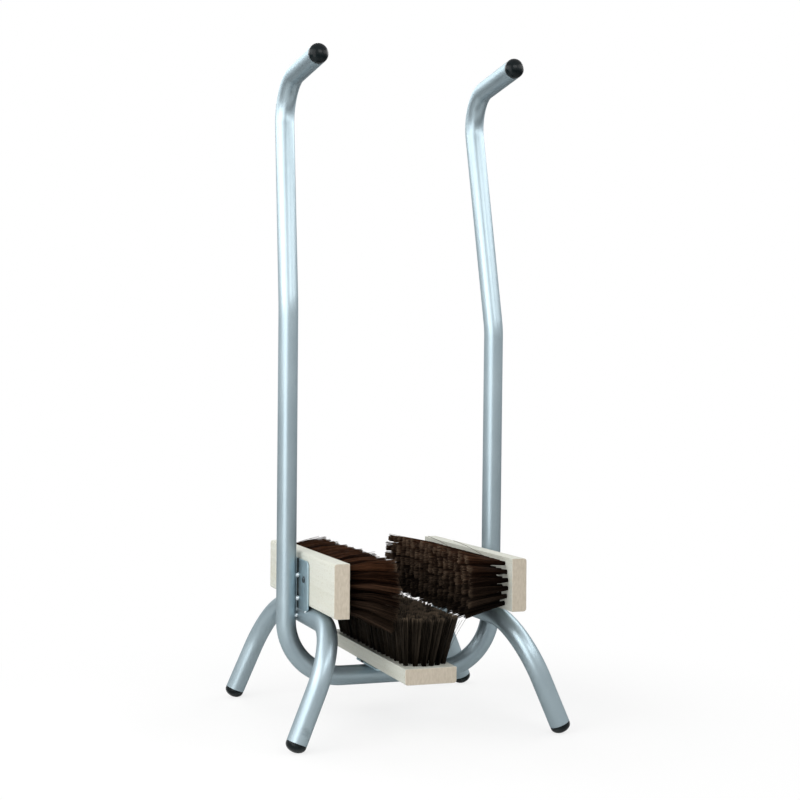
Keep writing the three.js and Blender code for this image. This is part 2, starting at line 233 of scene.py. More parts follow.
def grown(name, tree, data, values):
    """Runs a Geometry Nodes tree on some data and keeps what it makes as a plain mesh."""
    source = linked(name + "_source", data)
    modifier = source.modifiers.new(tree.name, "NODES")
    modifier.node_group = tree
    for item in tree.interface.items_tree:
        if item.in_out == "INPUT" and item.name in values:
            value = values[item.name]
            if item.socket_type == "NodeSocketFloat":
                value = float(value)
            modifier[item.identifier] = value
    return plain_mesh(name, source)


# Faces that meet at more than this keep a crisp edge, such as a tube's cut rim.
crisp_angle = math.radians(50)


def bent_tube(name, corners):
    """A hollow tube through corners, each given with the radius of its bend."""
    path = bpy.data.curves.new(name, "CURVE")
    path.dimensions = "3D"
    spline = path.splines.new("POLY")
    spline.points.add(len(corners) - 1)
    for point, (x, y, z, bend) in zip(spline.points, corners):
        point.co = (x * mm, (y + post_plane) * mm, z * mm, 1)
        point.radius = bend * mm
    values = {"Radius": tube_radius * mm, "Sides": 64, "Steps": 24, "Coat": powder_coat}
    tube = grown(name, tube_tree, path, values)
    wall = tube.modifiers.new("wall", "SOLIDIFY")
    wall.thickness = tube_wall * mm
    wall.offset = -1
    tube = plain_mesh(name, tube)
    tube.data.set_sharp_from_angle(angle=crisp_angle)
    return tube


def finished(piece, slot, *nodes):
    """The piece rides on the root and stands for its CAD nodes, which it hides. Slot is not used.
    """
    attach(piece, "root")
    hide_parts(*nodes)


# Bent by hand, so the two posts and grips differ a little. Each corner is in mm,
# followed by the radius of its bend.
left_post = [
    (-142.76, -94.62, 924, 0),
    (-147.9, 68.9, 916, 53),
    (-156.5, 0, 589, 130),
    (-156.5, 0, 61, 82.6),
]
right_post = [
    (156.01, 0, 61, 82.6),
    (158.73, 0, 563, 130),
    (147.9, 68.9, 916, 53),
    (143.74, -101.21, 926.71, 0),
]
frame_tube = bent_tube("posts_and_base_rail", left_post + right_post)
finished(frame_tube, "tube_coat", "frame_tube")


# The leg arches: the same tube bent into two wide hoops that splay outwards
# and stand on their plugged ends. Each is tacked to the inside of its post.
arch_corners = [
    (186.63, -175.17, 12.4, 0),
    (128.2, -165.16, 151.4, 89.4),
    (128.2, 179.16, 151.4, 89.4),
    (186.63, 189.18, 12.4, 0),
]
for name, side in (("left", -1), ("right", 1)):
    corners = [(side * x, y, z, bend) for x, y, z, bend in arch_corners]
    arch = bent_tube(name + "_splayed_legs", corners)
    finished(arch, "tube_coat", name + "_leg_arch")


# The end plugs: domed polyethylene caps, moulded in black and pushed into the
# tube ends, flush with the tube. The four that serve as feet are worn flat and
# a little scuffed where they stand. The mould left a 1 mm grain and 8 mm blotches.
plug_black, tree, shader, place = new_finish(
    "black moulded polyethylene", Roughness=0.22, Specular_IOR_Level=0.12
)
grain = add(tree, "ShaderNodeTexNoise", {"Vector": place, "Scale": 900, "Detail": 2})
blotch = add(tree, "ShaderNodeTexNoise", {"Vector": place, "Scale": 120, "Detail": 4})
black = shade_between(tree, blotch.outputs["Fac"], 0.35, 0.7, "#0B1113", "#121A1C")
height = add(tree, "ShaderNodeSeparateXYZ", {0: place}).outputs["Z"]
near_floor = add(
    tree,
    "ShaderNodeMapRange",
    {"Value": height, "From Min": 0.001, "From Max": 0.009, "To Min": 0.7, "To Max": 0.0},
)
scuffs = add(
    tree,
    "ShaderNodeMath",
    {0: near_floor.outputs[0], 1: blotch.outputs["Fac"]},
    operation="MULTIPLY",
)
scuffed = add(
    tree,
    "ShaderNodeMix",
    {"Factor": scuffs.outputs[0], 6: black, 7: linear("#5B5F5E")},
    data_type="RGBA",
).outputs[2]
tree.links.new(scuffed, shader.inputs["Base Color"])
grain_bump = add(
    tree,
    "ShaderNodeBump",
    {"Height": grain.outputs["Fac"], "Strength": 0.05, "Distance": 0.0001},
)
tree.links.new(grain_bump.outputs[0], shader.inputs["Normal"])


def dome(radius, foot, rise, degrees):
    """Points of a domed profile: its radius, the height of its foot and how far it rises."""
    angles = [math.radians(a) for a in degrees]
    return [(radius * math.cos(a), foot + rise * math.sin(a)) for a in angles]


# Radius and height in mm: the stem inside the tube, the rim on its end, the dome.
plug_profile = [(0, -16), (10.3, -16), (11.3, -14.8), (11.3, 0.3)]
plug_profile += [(13.5, 0.3), (13.8, 0.5), (13.9, 0.8)]
plug_profile += dome(13.9, 2.8, 9.5, range(0, 90, 6)) + [(0, 12.3)]


def turned(name, profile, sides, material):
    """A round part turned about Z from its profile in mm, closed at both ends."""
    mesh = bpy.data.meshes.new(name)
    made = bmesh.new()
    rings = []
    for radius, z in profile:
        count = sides if radius else 1
        angles = [2 * math.pi * i / sides for i in range(count)]
        ring = [(radius * math.cos(a) * mm, radius * math.sin(a) * mm, z * mm) for a in angles]
        rings.append([made.verts.new(place) for place in ring])
    for low, high in zip(rings, rings[1:]):
        for i in range(sides):
            j = (i + 1) % sides
            if len(low) == 1:
                made.faces.new((low[0], high[j], high[i]))
            elif len(high) == 1:
                made.faces.new((low[i], low[j], high[0]))
            else:
                made.faces.new((low[i], low[j], high[j], high[i]))
    for face in made.faces:
        face.smooth = True
    bmesh.ops.recalc_face_normals(made, faces=made.faces)
    made.to_mesh(mesh)
    made.free()
    mesh.materials.append(material)
    return mesh


def add_plug(name, node, end, corner):
    """A plug in the tube end that comes after a corner. It is worn flat at the floor."""
    mesh = turned(name, plug_profile, 64, plug_black)
    outwards = Vector(end) - Vector(corner)
    turn = outwards.normalized().to_track_quat("Z", "Y").to_matrix().to_4x4()
    x, y, z = end
    mesh.transform(Matrix.Translation((x * mm, (y + post_plane) * mm, z * mm)) @ turn)
    for vertex in mesh.vertices:
        vertex.co.z = max(vertex.co.z, 0)
    mesh.set_sharp_from_angle(angle=crisp_angle)
    finished(linked(name, mesh), "cap_plastic", node)


for name, grip in (("left", left_post[:2]), ("right", right_post[:1:-1])):
    end, corner = (point[:3] for point in grip)
    add_plug(name + "_grip_plug", name + "_grip_cap", end, corner)
for name, side in (("left", -1), ("right", 1)):
    for which, leg in (("front", arch_corners[:2]), ("rear", arch_corners[:1:-1])):
        end, corner = ((side * x, y, z) for x, y, z, _ in leg)
        add_plug(f"{name}_{which}_floor_plug", f"{name}_{which}_foot", end, corner)


# The brackets: three 2.5 mm plates with rounded corners, cut from sheet, their
# edges broken. Each is welded to the tube behind it, coated with the frame,
# and drilled for the two screws that hold its brush.
# On flat sheet the coat looks more metallic, and a little duller and coarser.
plate_coat, tree, shader, place = new_finish(
    "silver powder coat on plate", Metallic=0.85, Specular_Tint=linear("#B0BABE")
)
flake = add(tree, "ShaderNodeTexNoise", {"Vector": place, "Scale": 1250, "Detail": 1})
bright = shade_between(tree, flake.outputs["Fac"], 0.35, 0.68, "#96ABB3", "#A5B9C1")
# Painted shade: the groove along the tube behind the plate is painted near-black, as where the
# tube shades it.
along_y = add(tree, "ShaderNodeSeparateXYZ", {0: place}).outputs["Y"]
off_post = add(tree, "ShaderNodeMath", {0: along_y, 1: post_plane * mm}, operation="SUBTRACT")
from_groove = add(tree, "ShaderNodeMath", {0: off_post.outputs[0]}, operation="ABSOLUTE")
crevice_shade = add(
    tree,
    "ShaderNodeMapRange",
    {"Value": from_groove.outputs[0], "From Min": 0.004, "From Max": 0.0065},
)
plate_colour = add(
    tree,
    "ShaderNodeMix",
    {"Factor": crevice_shade.outputs[0], 6: linear("#0B1114"), 7: bright},
    data_type="RGBA",
).outputs[2]
tree.links.new(plate_colour, shader.inputs["Base Color"])
cloud = add(tree, "ShaderNodeTexNoise", {"Vector": place, "Scale": 30, "Detail": 3})
satin = add(
    tree,
    "ShaderNodeMapRange",
    {
        "Value": cloud.outputs["Fac"],
        "From Min": 0.3,
        "From Max": 0.7,
        "To Min": 0.4,
        "To Max": 0.5,
    },
)
tree.links.new(satin.outputs[0], shader.inputs["Roughness"])
peel = add(tree, "ShaderNodeTexNoise", {"Vector": place, "Scale": 420, "Detail": 2})
peel_bump = add(
    tree,
    "ShaderNodeBump",
    {"Height": peel.outputs["Fac"], "Strength": 0.08, "Distance": 0.00015},
)
tree.links.new(peel_bump.outputs[0], shader.inputs["Normal"])

plate_length, plate_width, plate_thickness = 104, 70, 2.5
plate_corner, plate_edge = 9, 0.5
screw_spacing, screw_hole = 67, 2.6
# The rims of plates and screw heads are crisp from a smaller angle on.
plate_rim_angle = math.radians(35)

# Brush frame: z = 0 is the back of the brush back, +Z points to the tips, Y
# runs along the brush and X across it. The brush backs at the sides stand
# block_back from the middle, and the bottom brush lies a little to the left
# and ahead of the posts.
block_back, side_height = 137, 204.2
rail_brush_across, rail_brush_ahead, rail_brush_height = -8.6, 19.2, 80.5
# A plate's outer face lies behind the brush back, and a side brush's plate
# sits lower than the middle of its brush.
plate_face, side_shift = -2.8, -8.6
brushes = {}
for name, side in (("left", -1), ("right", 1)):
    centre = Vector((side * block_back, post_plane, side_height)) * mm
    turn = Matrix.Rotation(-side * math.pi / 2, 4, "Y")
    brushes[name] = Matrix.Translation(centre) @ turn
centre = Vector((rail_brush_across, post_plane - rail_brush_ahead, rail_brush_height)) * mm
brushes["bottom"] = Matrix.Translation(centre)
# Which way along its X a brush has its upper side.
upwards = {"left": -1, "right": 1, "bottom": 0}


def outline(curve, points):
    """Adds a closed outline, in mm, to a flat curve."""
    spline = curve.splines.new("POLY")
    spline.points.add(len(points) - 1)
    for point, (x, y) in zip(spline.points, points):
        point.co = (x * mm, y * mm, 0, 1)
    spline.use_cyclic_u = True


def arc(x, y, radius, start, steps, turn=90):
    """Points of an arc round (x, y), from start degrees on."""
    angles = [math.radians(start + turn * i / steps) for i in range(steps + 1)]
    return [(x + radius * math.cos(a), y + radius * math.sin(a)) for a in angles]


for name, brush_place in brushes.items():
    shift = upwards[name] * side_shift
    curve = bpy.data.curves.new(name + "_plate", "CURVE")
    curve.dimensions = "2D"
    curve.fill_mode = "BOTH"
    curve.extrude = (plate_thickness / 2 - plate_edge) * mm
    curve.bevel_depth = plate_edge * mm
    curve.bevel_resolution = 2
    curve.offset = -plate_edge * mm
    x, y = plate_width / 2 - plate_corner, plate_length / 2 - plate_corner
    corners = []
    for across, along, start in ((x, y, 0), (-x, y, 90), (-x, -y, 180), (x, -y, 270)):
        corners += arc(across, along, plate_corner, start, 8)
    outline(curve, corners)
    # A hole's outline runs the other way round, so that its edge is broken too.
    for end in (-1, 1):
        outline(curve, arc(-shift, end * screw_spacing / 2, screw_hole, 0, 24, -345))
    plate = plain_mesh(name + "_plate", linked(name + "_plate_outline", curve))
    merged = bmesh.new()
    merged.from_mesh(plate.data)
    bmesh.ops.remove_doubles(merged, verts=merged.verts, dist=1e-6)
    bmesh.ops.recalc_face_normals(merged, faces=merged.faces)
    merged.to_mesh(plate.data)
    merged.free()
    middle = Matrix.Translation((shift * mm, 0, (plate_face + plate_thickness / 2) * mm))
    plate.data.transform(brush_place @ middle)
    plate.data.materials.clear()
    plate.data.materials.append(plate_coat)
    plate.data.set_sharp_from_angle(angle=plate_rim_angle)
    finished(plate, "plate_coat", name + "_bracket")


# The weld tacks: short beads of weld that hold the plates and the arches to
# the frame. They are coated with it, and their colour is painted paler than the
# coat's, a painted highlight for their round tops. The weld's ripples are about 1.4 mm apart.
tack_coat, tree, shader, place = new_finish(
    "powder coat over weld tacks", Metallic=0.4, Roughness=0.4
)
ripple = add(tree, "ShaderNodeTexNoise", {"Vector": place, "Scale": 700, "Detail": 2})
# Painted highlight: the tacks' colour is far paler than the frame's coat.
tack_highlight_colour = shade_between(tree, ripple.outputs["Fac"], 0.3, 0.7, "#B9C4C8", "#E6EDEF")
tree.links.new(tack_highlight_colour, shader.inputs["Base Color"])
ripple_bump = add(
    tree,
    "ShaderNodeBump",
    {"Height": ripple.outputs["Fac"], "Strength": 0.4, "Distance": 0.0003},
)
tree.links.new(ripple_bump.outputs[0], shader.inputs["Normal"])

tack_tree, given, tree_end = new_tree(
    "Weld tacks", Places="Geometry", Radius="Float", Stretch="Float", Seed="Int", Coat="Material"
)
blob = add(tack_tree, "GeometryNodeMeshIcoSphere", {"Radius": given["Radius"], "Subdivisions": 4})
turns = add(
    tack_tree,
    "FunctionNodeRandomValue",
    {"Min": [-0.4, -0.4, -0.4], "Max": [0.4, 0.4, 0.4], "Seed": given["Seed"]},
    data_type="FLOAT_VECTOR",
)
stretched = add(tack_tree, "ShaderNodeCombineXYZ", {"X": 1.0, "Y": given["Stretch"], "Z": 1.0})
share = add(tack_tree, "GeometryNodeInputNamedAttribute", {"Name": "share"}, data_type="FLOAT")
sized = add(
    tack_tree,
    "ShaderNodeVectorMath",
    {0: stretched.outputs[0], "Scale": share.outputs[0]},
    operation="SCALE",
)
tacks = add(
    tack_tree,
    "GeometryNodeInstanceOnPoints",
    {
        "Points": given["Places"],
        "Instance": blob.outputs[0],
        "Rotation": turns.outputs[0],
        "Scale": sized.outputs[0],
    },
)
real = add(tack_tree, "GeometryNodeRealizeInstances", {"Geometry": tacks.outputs[0]})
spot = add(tack_tree, "GeometryNodeInputPosition").outputs[0]
lumps = add(tack_tree, "ShaderNodeTexNoise", {"Vector": spot, "Scale": 420.0, "Detail": 1.0})
lump_height = add(
    tack_tree, "ShaderNodeMath", {0: lumps.outputs[0], 1: 0.5}, operation="SUBTRACT"
)
push = add(
    tack_tree,
    "ShaderNodeMath",
    {0: lump_height.outputs[0], 1: given["Radius"]},
    operation="MULTIPLY",
)
outwards = add(
    tack_tree,
    "ShaderNodeVectorMath",
    {0: add(tack_tree, "GeometryNodeInputNormal").outputs[0], "Scale": push.outputs[0]},
    operation="SCALE",
)
lumpy = add(
    tack_tree,
    "GeometryNodeSetPosition",
    {"Geometry": real.outputs[0], "Offset": outwards.outputs[0]},
)
smooth = add(tack_tree, "GeometryNodeSetShadeSmooth", {"Geometry": lumpy.outputs[0]})
coated = add(
    tack_tree,
    "GeometryNodeSetMaterial",
    {"Geometry": smooth.outputs[0], "Material": given["Coat"]},
)
tack_tree.links.new(coated.outputs[0], tree_end.inputs[0])

# Two tacks hold each arch to its post, four fill the groove between a plate and
# its tube, and two small ones sit under each plate at the sides. Only the ones
# in the groove are full size: the others are a share of it.
tack_radius, arch_share, under_share = 3.2, 0.8, 0.5
arch_tack_across, arch_tack_height, arch_tack_apart = 142.5, 151.4, 7
groove_tacks_across, groove_tack_apart, groove_depth = (-20.6, 12), 5.6, 4.7
under_tack_apart, under_gap = 43, 0.4
tack_places, tack_shares = [], []
for side in (-1, 1):
    for end in (-arch_tack_apart, arch_tack_apart):
        tack_place = Vector((side * arch_tack_across, end + post_plane, arch_tack_height)) * mm
        tack_places.append(tack_place)
        tack_shares.append(arch_share)
for name, brush_place in brushes.items():
    up = upwards[name]
    behind = 0 if up else rail_brush_ahead
    for across in groove_tacks_across:
        for end in (-groove_tack_apart, groove_tack_apart):
            x = up * (side_shift + across) if up else across
            tack_place = Vector((x, behind + end, -groove_depth)) * mm
            tack_places.append(brush_place @ tack_place)
            tack_shares.append(1.0)
    if up:
        for end in (-under_tack_apart, under_tack_apart):
            x = up * (side_shift - plate_width / 2 - under_gap)
            tack_place = Vector((x, end, plate_face)) * mm
            tack_places.append(brush_place @ tack_place)
            tack_shares.append(under_share)
tack_mesh = bpy.data.meshes.new("tack places")
tack_mesh.from_pydata(tack_places, [], [])
tack_mesh.attributes.new("share", "FLOAT", "POINT").data.foreach_set("value", tack_shares)
values = {"Radius": tack_radius * mm, "Stretch": 1.3, "Seed": 4, "Coat": tack_coat}
weld_tacks = grown("weld_tacks", tack_tree, tack_mesh, values)
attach(weld_tacks, "root")


# The screws: six dark plated pan-head wood screws with a cross recess, two
# through each plate into the brush back. The plating has tarnished in 2 mm spots.
screw_plating, tree, shader, place = new_finish(
    "black zinc plated steel", Metallic=0.9, Roughness=0.38
)
tarnish = add(tree, "ShaderNodeTexNoise", {"Vector": place, "Scale": 500, "Detail": 3})
plating = shade_between(tree, tarnish.outputs["Fac"], 0.3, 0.7, "#31383B", "#4A5357")
tree.links.new(plating, shader.inputs["Base Color"])

# Radius and depth in mm: the point, the shank and the domed head, whose cross
# recess is milled from its top.
head_radius, head_height = 4.6, 2.4
recess_length, recess_width, recess_size = 4.6, 0.9, 2.4
screw_profile = [(0, 18), (0.5, 17.2), (2, 14), (2, 0), (4.5, 0), (head_radius, -0.5)]
screw_profile += dome(head_radius, -0.5, 0.5 - head_height, range(15, 90, 15))
screw_profile += [(0, -head_height)]
screw = linked("screw_blank", turned("screw_blank", screw_profile, 32, screw_plating))
recess = bpy.data.meshes.new("recess")
cross = bmesh.new()
at_top = Matrix.Translation((0, 0, -head_height * mm))
for across, along in ((recess_length, recess_width), (recess_width, recess_length)):
    size = Matrix.Diagonal((across * mm, along * mm, recess_size * mm, 1))
    bmesh.ops.create_cube(cross, size=1, matrix=at_top @ size)
cross.to_mesh(recess)
cross.free()
recess_tool = linked("recess_tool", recess)
milled = screw.modifiers.new("recess", "BOOLEAN")
milled.object = recess_tool
milled.solver = "EXACT"
milled.use_self = True
screw = plain_mesh("screw_pattern", screw)
bpy.data.objects.remove(recess_tool)

screw_tree, given, tree_end = new_tree(
    "Bracket screws", Places="Geometry", Screw="Object", Seed="Int", Plating="Material"
)
pattern = add(
    screw_tree, "GeometryNodeObjectInfo", {"Object": given["Screw"], "As Instance": True}
)
axis = add(
    screw_tree, "GeometryNodeInputNamedAttribute", {"Name": "axis"}, data_type="FLOAT_VECTOR"
)
aimed = add(
    screw_tree,
    "FunctionNodeAlignRotationToVector",
    {"Vector": axis.outputs[0]},
    axis="Z",
)
spin = add(
    screw_tree,
    "FunctionNodeRandomValue",
    {2: 0.0, 3: math.pi / 2, "Seed": given["Seed"]},
    data_type="FLOAT",
)
spun = add(screw_tree, "ShaderNodeCombineXYZ", {"Z": spin.outputs[1]})
driven = add(
    screw_tree,
    "FunctionNodeRotateRotation",
    {"Rotation": aimed.outputs[0], "Rotate By": spun.outputs[0]},
    rotation_space="LOCAL",
)
screws_in = add(
    screw_tree,
    "GeometryNodeInstanceOnPoints",
    {
        "Points": given["Places"],
        "Instance": pattern.outputs["Geometry"],
        "Rotation": driven.outputs[0],
    },
)
real = add(screw_tree, "GeometryNodeRealizeInstances", {"Geometry": screws_in.outputs[0]})
plated = add(
    screw_tree,
    "GeometryNodeSetMaterial",
    {"Geometry": real.outputs[0], "Material": given["Plating"]},
)
screw_tree.links.new(plated.outputs[0], tree_end.inputs[0])

# Each head stands a little proud of its plate's outer face.
head_seat = 0.3
screw_places, screw_axes = [], []
for brush_place in brushes.values():
    for end in (-1, 1):
        head = Vector((0, end * screw_spacing / 2, plate_face - head_seat)) * mm
        screw_places.append(brush_place @ head)
        screw_axes += list(brush_place.to_3x3() @ Vector((0, 0, 1)))
screw_mesh = bpy.data.meshes.new("screw places")
screw_mesh.from_pydata(screw_places, [], [])
screw_mesh.attributes.new("axis", "FLOAT_VECTOR", "POINT").data.foreach_set("vector", screw_axes)
values = {"Screw": screw, "Seed": 3, "Plating": screw_plating}
screws = grown("bracket_screws", screw_tree, screw_mesh, values)
bpy.data.objects.remove(screw)
screws.data.set_sharp_from_angle(angle=plate_rim_angle)
finished(
    screws,
    "screw_steel",
    *(f"{name}_screw_{end}" for name in brushes for end in ("front", "rear")),
)


# The brush backs: planed beech, left unvarnished, 344 x 73 x 21.5 mm. The long
# edges of the back are rounded off, the other edges are only just broken.
# Beech is pale and even, with small dark ray flecks and a browner end grain.
beech, tree, shader, place = new_finish("planed beech", Roughness=0.62)
# The grain runs along Y: growth rings about 4 mm apart, drawn out 40 times.
with_grain = add(tree, "ShaderNodeMapping", {"Vector": place, "Scale": [1.0, 0.025, 1.0]})
rings = add(
    tree,
    "ShaderNodeTexNoise",
    {"Vector": with_grain.outputs[0], "Scale": 260, "Detail": 4, "Distortion": 0.6},
)
ring_colour = shade_between(tree, rings.outputs["Fac"], 0.3, 0.7, "#BFC1B8", "#C8CAC2")
patches = add(
    tree, "ShaderNodeTexNoise", {"Vector": with_grain.outputs[0], "Scale": 45, "Detail": 2}
)
patch_colour = shade_between(tree, patches.outputs["Fac"], 0.3, 0.7, "#F6F4EE", "#FFFFFF")
# Ray flecks are about 2 mm long and 0.4 mm wide.
fleck_place = add(tree, "ShaderNodeMapping", {"Vector": place, "Scale": [1.0, 0.2, 1.0]})
flecks = add(
    tree, "ShaderNodeTexNoise", {"Vector": fleck_place.outputs[0], "Scale": 1500, "Detail": 0}
)
fleck_colour = shade_between(tree, flecks.outputs["Fac"], 0.66, 0.74, "#FFFFFF", "#D2BFA4")
wood = add(
    tree,
    "ShaderNodeMix",
    {"Factor": 1.0, 6: ring_colour, 7: patch_colour},
    data_type="RGBA",
    blend_type="MULTIPLY",
).outputs[2]
flecked = add(
    tree,
    "ShaderNodeMix",
    {"Factor": 0.5, 6: wood, 7: fleck_colour},
    data_type="RGBA",
    blend_type="MULTIPLY",
).outputs[2]
# The sawn ends face along Y, take more light in and look browner. Their rings
# show as bands 2.4 mm apart.
facing = add(tree, "ShaderNodeTexCoord").outputs["Normal"]
along_grain = add(tree, "ShaderNodeSeparateXYZ", {0: facing}).outputs["Y"]
end_on = add(tree, "ShaderNodeMath", {0: along_grain}, operation="ABSOLUTE")
sawn = add(
    tree,
    "ShaderNodeMapRange",
    {"Value": end_on.outputs[0], "From Min": 0.6, "From Max": 0.9},
)
end_place = add(tree, "ShaderNodeMapping", {"Vector": place, "Scale": [1.0, 0.1, 0.35]})
end_rings = add(
    tree, "ShaderNodeTexNoise", {"Vector": end_place.outputs[0], "Scale": 420, "Detail": 4}
)
end_colour = shade_between(tree, end_rings.outputs["Fac"], 0.3, 0.7, "#B0A594", "#C0B6A6")
beech_colour = add(
    tree,
    "ShaderNodeMix",
    {"Factor": sawn.outputs[0], 6: flecked, 7: end_colour},
    data_type="RGBA",
).outputs[2]
tree.links.new(beech_colour, shader.inputs["Base Color"])
# Planed fibres stand up along the grain, about 0.6 mm apart.
fibres = add(
    tree, "ShaderNodeTexNoise", {"Vector": with_grain.outputs[0], "Scale": 1600, "Detail": 2}
)
fibre_bump = add(
    tree,
    "ShaderNodeBump",
    {"Height": fibres.outputs["Fac"], "Strength": 0.25, "Distance": 0.0001},
)
tree.links.new(fibre_bump.outputs[0], shader.inputs["Normal"])

block_length, block_width, block_thickness = 344, 72.6, 21.5
block_edge, broken_edge = 4, 0.9
half = block_width / 2
block_section = [(half, block_thickness), (-half, block_thickness)]
block_section += arc(block_edge - half, block_edge, block_edge, 180, 8)
block_section += arc(half - block_edge, block_edge, block_edge, 270, 8)
for name, brush_place in brushes.items():
    mesh = bpy.data.meshes.new(name + "_brush_back")
    bar = bmesh.new()
    near = [bar.verts.new((x * mm, -block_length / 2 * mm, z * mm)) for x, z in block_section]
    far = [bar.verts.new((x * mm, block_length / 2 * mm, z * mm)) for x, z in block_section]
    bar.faces.new(near)
    bar.faces.new(far)
    for i in range(len(near)):
        j = (i + 1) % len(near)
        bar.faces.new((near[i], near[j], far[j], far[i]))
    bmesh.ops.recalc_face_normals(bar, faces=bar.faces)
    bar.to_mesh(mesh)
    bar.free()
    mesh.transform(brush_place)
    mesh.materials.append(beech)
    mesh.shade_smooth()
    mesh.set_sharp_from_angle(angle=crisp_angle)
    block = linked(name + "_brush_back", mesh)
    broken = block.modifiers.new("broken edges", "BEVEL")
    broken.width = broken_edge * mm
    broken.segments = 3
    broken.limit_method = "ANGLE"
    broken.angle_limit = crisp_angle
    broken.harden_normals = True
    finished(block, "pale_wood", name + "_block")


# The bristles: stiff dark brown fibre, folded into drilled holes in tufts of
# more than a hundred hairs, six rows of seventeen to a brush. Each tuft leaves
# its hole tight and fans out, and use has parted its tips into a few locks.
bristle, tree, shader, _ = new_finish("dark brown bristle fibre", Roughness=0.55, IOR=1.08)
# The low IOR stands for the shine that is lost among thinner, dusty hairs.
tone = add(tree, "ShaderNodeAttribute", attribute_name="hair_tone").outputs["Fac"]
reach = add(tree, "ShaderNodeAttribute", attribute_name="hair_reach").outputs["Fac"]
top_lit = add(tree, "ShaderNodeAttribute", attribute_name="hair_fade").outputs["Fac"]
wear_and_top_light = add(tree, "ShaderNodeAttribute", attribute_name="hair_wear").outputs["Fac"]
dark = shade_between(tree, tone, 0.1, 0.95, "#0B0907", "#3A332B")
# Painted top light: the hairs on the upper side of a side brush are painted a redder, lighter
# brown, as where light falls on them from above.
red = shade_between(tree, tone, 0.1, 0.95, "#22120A", "#66432E")
hair = add(tree, "ShaderNodeMix", {"Factor": top_lit, 6: dark, 7: red}, data_type="RGBA").outputs[2]
# Dirt and painted shade darken them towards their holes, deep among the tufts.
dirt_and_shade = add(
    tree,
    "ShaderNodeMapRange",
    {"Value": reach, "From Min": 0.1, "From Max": 0.95, "To Min": 0.62, "To Max": 1.1},
)
hair = add(
    tree,
    "ShaderNodeMix",
    {"Factor": 1.0, 6: hair, 7: dirt_and_shade.outputs[0]},
    data_type="RGBA",
    blend_type="MULTIPLY",
).outputs[2]
# Their very tips are worn paler; on the upper rows of a side brush they are painted paler still,
# as painted top light.
worn = add(tree, "ShaderNodeMapRange", {"Value": reach, "From Min": 0.92, "From Max": 1.0})
worn_here = add(tree, "ShaderNodeMath", {0: worn.outputs[0], 1: wear_and_top_light}, operation="MULTIPLY")
hair_colour = add(
    tree,
    "ShaderNodeMix",
    {"Factor": worn_here.outputs[0], 6: hair, 7: linear("#6F6050")},
    data_type="RGBA",
).outputs[2]
tree.links.new(hair_colour, shader.inputs["Base Color"])

hair_tree, given, tree_end = new_tree(
    "Tufted bristles",
    Rows="Int",
    Tufts_in_a_row="Int",
    Hairs_in_a_tuft="Int",
    Locks_in_a_tuft="Int",
    Half_width="Float",
    Half_length="Float",
    End_arc="Float",
    Tip_half_width="Float",
    Tip_spread="Float",
    Combed="Float",
    Droop="Float",
    Bent_by_use="Float",
    Upper_side="Float",
    Tone="Float",
    Fading="Float",
    Wear="Float",
    Start="Float",
    Length="Float",
    Hole_radius="Float",
    Tip_radius="Float",
    Tip_drawn_out="Float",
    Hair_radius="Float",
    Fraying="Float",
    Seed="Int",
    Fibre="Material",
)


def figure(operation, *values):
    """Arithmetic on numbers in the bristle tree."""
    inputs = dict(enumerate(values))
    return add(hair_tree, "ShaderNodeMath", inputs, operation=operation).outputs[0]


def times(first, second, rest=0.0):
    """The product of two numbers, with a third one added."""
    return figure("MULTIPLY_ADD", first, second, rest)


def chance(offset, low, high, shared=None):
    """A random number for each point, or one for all points with the same shared number."""
    values = {2: low, 3: high, "Seed": figure("ADD", given["Seed"], offset)}
    if shared:
        values["ID"] = shared
    return add(hair_tree, "FunctionNodeRandomValue", values, data_type="FLOAT").outputs[1]


def kept(geometry, name, value, kind="FLOAT"):
    """Stores a value on the geometry's points."""
    return add(
        hair_tree,
        "GeometryNodeStoreNamedAttribute",
        {"Geometry": geometry, "Name": name, "Value": value},
        data_type=kind,
        domain="POINT",
    ).outputs[0]


def recalled(name, kind="FLOAT"):
    """A value stored before."""
    return add(
        hair_tree, "GeometryNodeInputNamedAttribute", {"Name": name}, data_type=kind
    ).outputs[0]


def point(x, y, z=0.0):
    """A position put together from its three parts."""
    return add(hair_tree, "ShaderNodeCombineXYZ", {"X": x, "Y": y, "Z": z}).outputs[0]


def parts(vector):
    """A position's three parts."""
    return add(hair_tree, "ShaderNodeSeparateXYZ", {0: vector}).outputs


# One point for each tuft, in rows that go from -1 to 1 both ways. It is copied
# once for each of its hairs.
grid = add(
    hair_tree,
    "GeometryNodeMeshGrid",
    {
        "Size X": 2.0,
        "Size Y": 2.0,
        "Vertices X": given["Rows"],
        "Vertices Y": given["Tufts in a row"],
    },
)
tufts = add(hair_tree, "GeometryNodeMeshToPoints", {"Mesh": grid.outputs[0]}).outputs[0]
tufts = kept(tufts, "tuft", add(hair_tree, "GeometryNodeInputIndex").outputs[0])
hairs = add(
    hair_tree,
    "GeometryNodeDuplicateElements",
    {"Geometry": tufts, "Amount": given["Hairs in a tuft"]},
    domain="POINT",
).outputs["Geometry"]
across, run, _ = parts(add(hair_tree, "GeometryNodeInputPosition").outputs[0])
outermost = figure("MULTIPLY", across, across)
arc_back = figure("SUBTRACT", given["Half length"], times(given["End arc"], outermost))
root_run = times(run, arc_back)
# The end tufts lean out most, and the outermost rows less than the middle ones.
outer_loss = 0.28
spread = times(given["Tip spread"], times(outermost, -outer_loss, 1.0))
run_cubed = times(figure("SIGN", run), figure("POWER", figure("ABSOLUTE", run), 3.0))
tip_run = figure("ADD", times(run_cubed, spread, root_run), given["Combed"])
